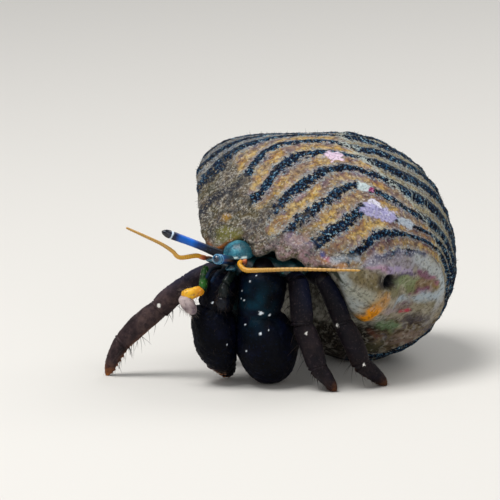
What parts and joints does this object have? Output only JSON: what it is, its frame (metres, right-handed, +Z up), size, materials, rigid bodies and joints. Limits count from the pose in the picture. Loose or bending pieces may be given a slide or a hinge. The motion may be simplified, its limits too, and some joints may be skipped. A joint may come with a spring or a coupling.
{
  "type": "hermit crab",
  "caption": "Still, life-size hermit crab in a ribbed turban shell, standing on its legs and claws with eyes and feelers out.",
  "frame": {"origin": "centre of the small flat under the shell, on the floor", "axes": "+Z up, the crab faces -Y, its left side is +X"},
  "size_m": [0.0289, 0.0371, 0.0244],
  "materials": {
    "shell": "weathered tan shell with dark spiral ribs and grey crust",
    "soft_body": "dark teal skin",
    "carapace": "pale teal, speckled",
    "claw": "blue-black with pale granules",
    "leg": "dark purple-brown, amber tips",
    "eyestalk": "cobalt blue with a navy end",
    "eye": "glossy dark cornea with a blue sheen",
    "feeler": "yellow-orange",
    "mouthpart": "green, yellow and mauve-grey"
  },
  "bodies": {
    "root": {"acicle_left": "carapace", "acicle_right": "carapace", "antenna_base_left": "feeler", "antenna_base_right": "feeler", "antenna_left": "feeler", "antenna_right": "feeler", "antennule_left": "feeler", "antennule_right": "feeler", "carapace_shield": "carapace", "claw_left_carpus": "claw", "claw_left_merus": "claw", "claw_left_palm": "claw", "claw_right_carpus": "claw", "claw_right_merus": "claw", "claw_right_palm": "claw", "eye_left": "eye", "eye_right": "eye", "eyestalk_left": "eyestalk", "eyestalk_right": "eyestalk", "front_leg_left_carpus": "leg", "front_leg_left_dactyl": "leg", "front_leg_left_merus": "leg", "front_leg_left_propodus": "leg", "front_leg_right_carpus": "leg", "front_leg_right_dactyl": "leg", "front_leg_right_merus": "leg", "front_leg_right_propodus": "leg", "maxilliped_left": "mouthpart", "maxilliped_palp_left": "mouthpart", "maxilliped_palp_right": "mouthpart", "maxilliped_right": "mouthpart", "maxilliped_tip_left": "mouthpart", "maxilliped_tip_right": "mouthpart", "rear_leg_left_carpus": "leg", "rear_leg_left_dactyl": "leg", "rear_leg_left_merus": "leg", "rear_leg_left_propodus": "leg", "rear_leg_right_carpus": "leg", "rear_leg_right_dactyl": "leg", "rear_leg_right_merus": "leg", "rear_leg_right_propodus": "leg", "shell": "shell", "thorax": "soft_body"}
  },
  "joints": []
}
